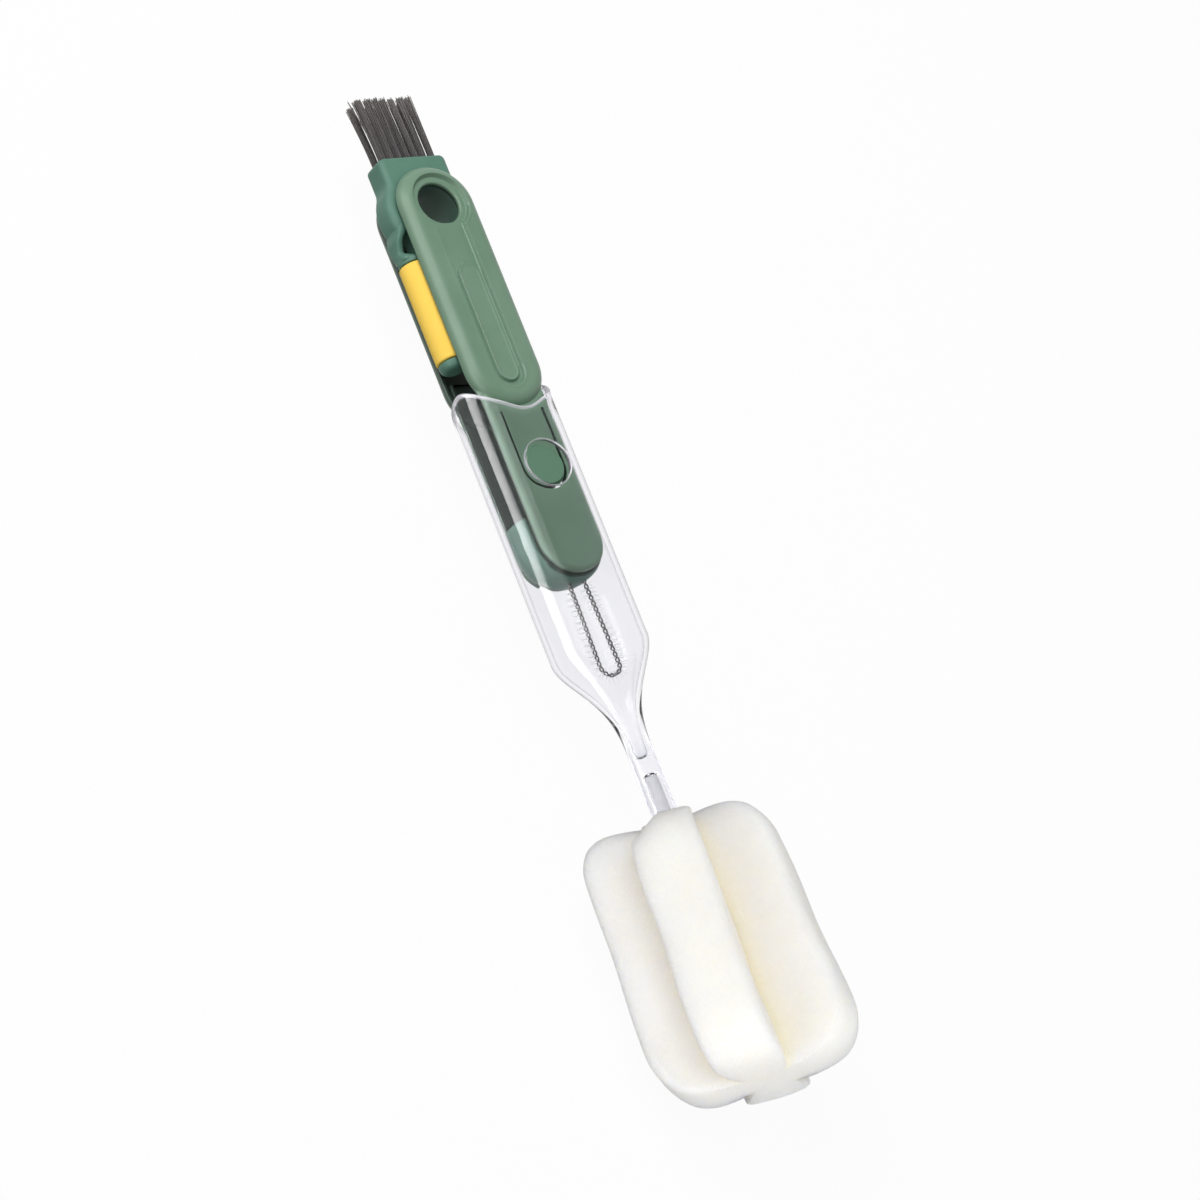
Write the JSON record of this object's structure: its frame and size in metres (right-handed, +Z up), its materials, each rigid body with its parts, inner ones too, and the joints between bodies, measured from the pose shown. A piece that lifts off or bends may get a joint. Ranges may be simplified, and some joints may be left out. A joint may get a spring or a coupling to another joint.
{
  "type": "cup brush",
  "caption": "Cup-cleaning brush: cross-shaped foam head on a clear hollow handle that stores a sliding gap tool with a flip arm of bristles and wiping sleeve, a wire brush and a latch button.",
  "frame": {"origin": "under the middle of the box that holds the whole brush, on the plane that the lower two sponge lobes lie on", "axes": "+X along the handle towards the sponge, +Z up through the front with the button, +Y across the handle"},
  "size_m": [0.2984, 0.0506, 0.0506],
  "materials": {
    "sage_cover": "satin moulded sage green",
    "sage_latch": "satin moulded sage green",
    "teal_moulding": "satin moulded teal",
    "twisted_wire": "twisted bright wire",
    "white_filament": "fine white nylon filament",
    "dark_bristle": "dark grey nylon filament",
    "yellow_sleeve": "soft matt yellow",
    "clear_plastic": "polished clear moulding",
    "white_core": "plain white moulding",
    "cream_foam": "fine open foam"
  },
  "bodies": {
    "sponge_handle": {"clear_handle": "clear_plastic", "sponge_core": "white_core", "sponge_head": "cream_foam"},
    "gap_tool": {"front_cover": "sage_cover", "back_cover": "sage_cover", "base_block": "teal_moulding", "pivot_tube": "teal_moulding", "wire_loop": "twisted_wire", "wire_filaments": "white_filament"},
    "latch": {"latch_tongue": "sage_latch"},
    "arm": {"flip_arm": "teal_moulding", "wipe_sleeve": "yellow_sleeve", "sleeve_cap": "teal_moulding", "bristle_tuft_1": "dark_bristle", "bristle_tuft_2": "dark_bristle", "bristle_tuft_3": "dark_bristle", "bristle_tuft_4": "dark_bristle", "bristle_tuft_5": "dark_bristle", "bristle_tuft_6": "dark_bristle", "bristle_tuft_7": "dark_bristle", "bristle_tuft_8": "dark_bristle", "bristle_tuft_9": "dark_bristle", "bristle_tuft_10": "dark_bristle", "bristle_tuft_11": "dark_bristle", "bristle_tuft_12": "dark_bristle", "bristle_tuft_13": "dark_bristle", "bristle_tuft_14": "dark_bristle"}
  },
  "joints": [
    {"name": "tool_slide", "type": "slide", "parent": "sponge_handle", "child": "gap_tool", "axis": [-1, 0, 0], "range_m": [0, 0.1]},
    {"name": "latch_press", "type": "hinge", "parent": "gap_tool", "child": "latch", "pos_m": [-0.046, 0, 0.03143], "axis": [0, 1, 0], "range_deg": [0, 5], "stiffness_Nm_per_rad": 0.6},
    {"name": "arm_flip", "type": "hinge", "parent": "gap_tool", "child": "arm", "pos_m": [-0.1118, 0, 0.02528], "axis": [0, 0, -1], "range_deg": [0, 180]}
  ]
}
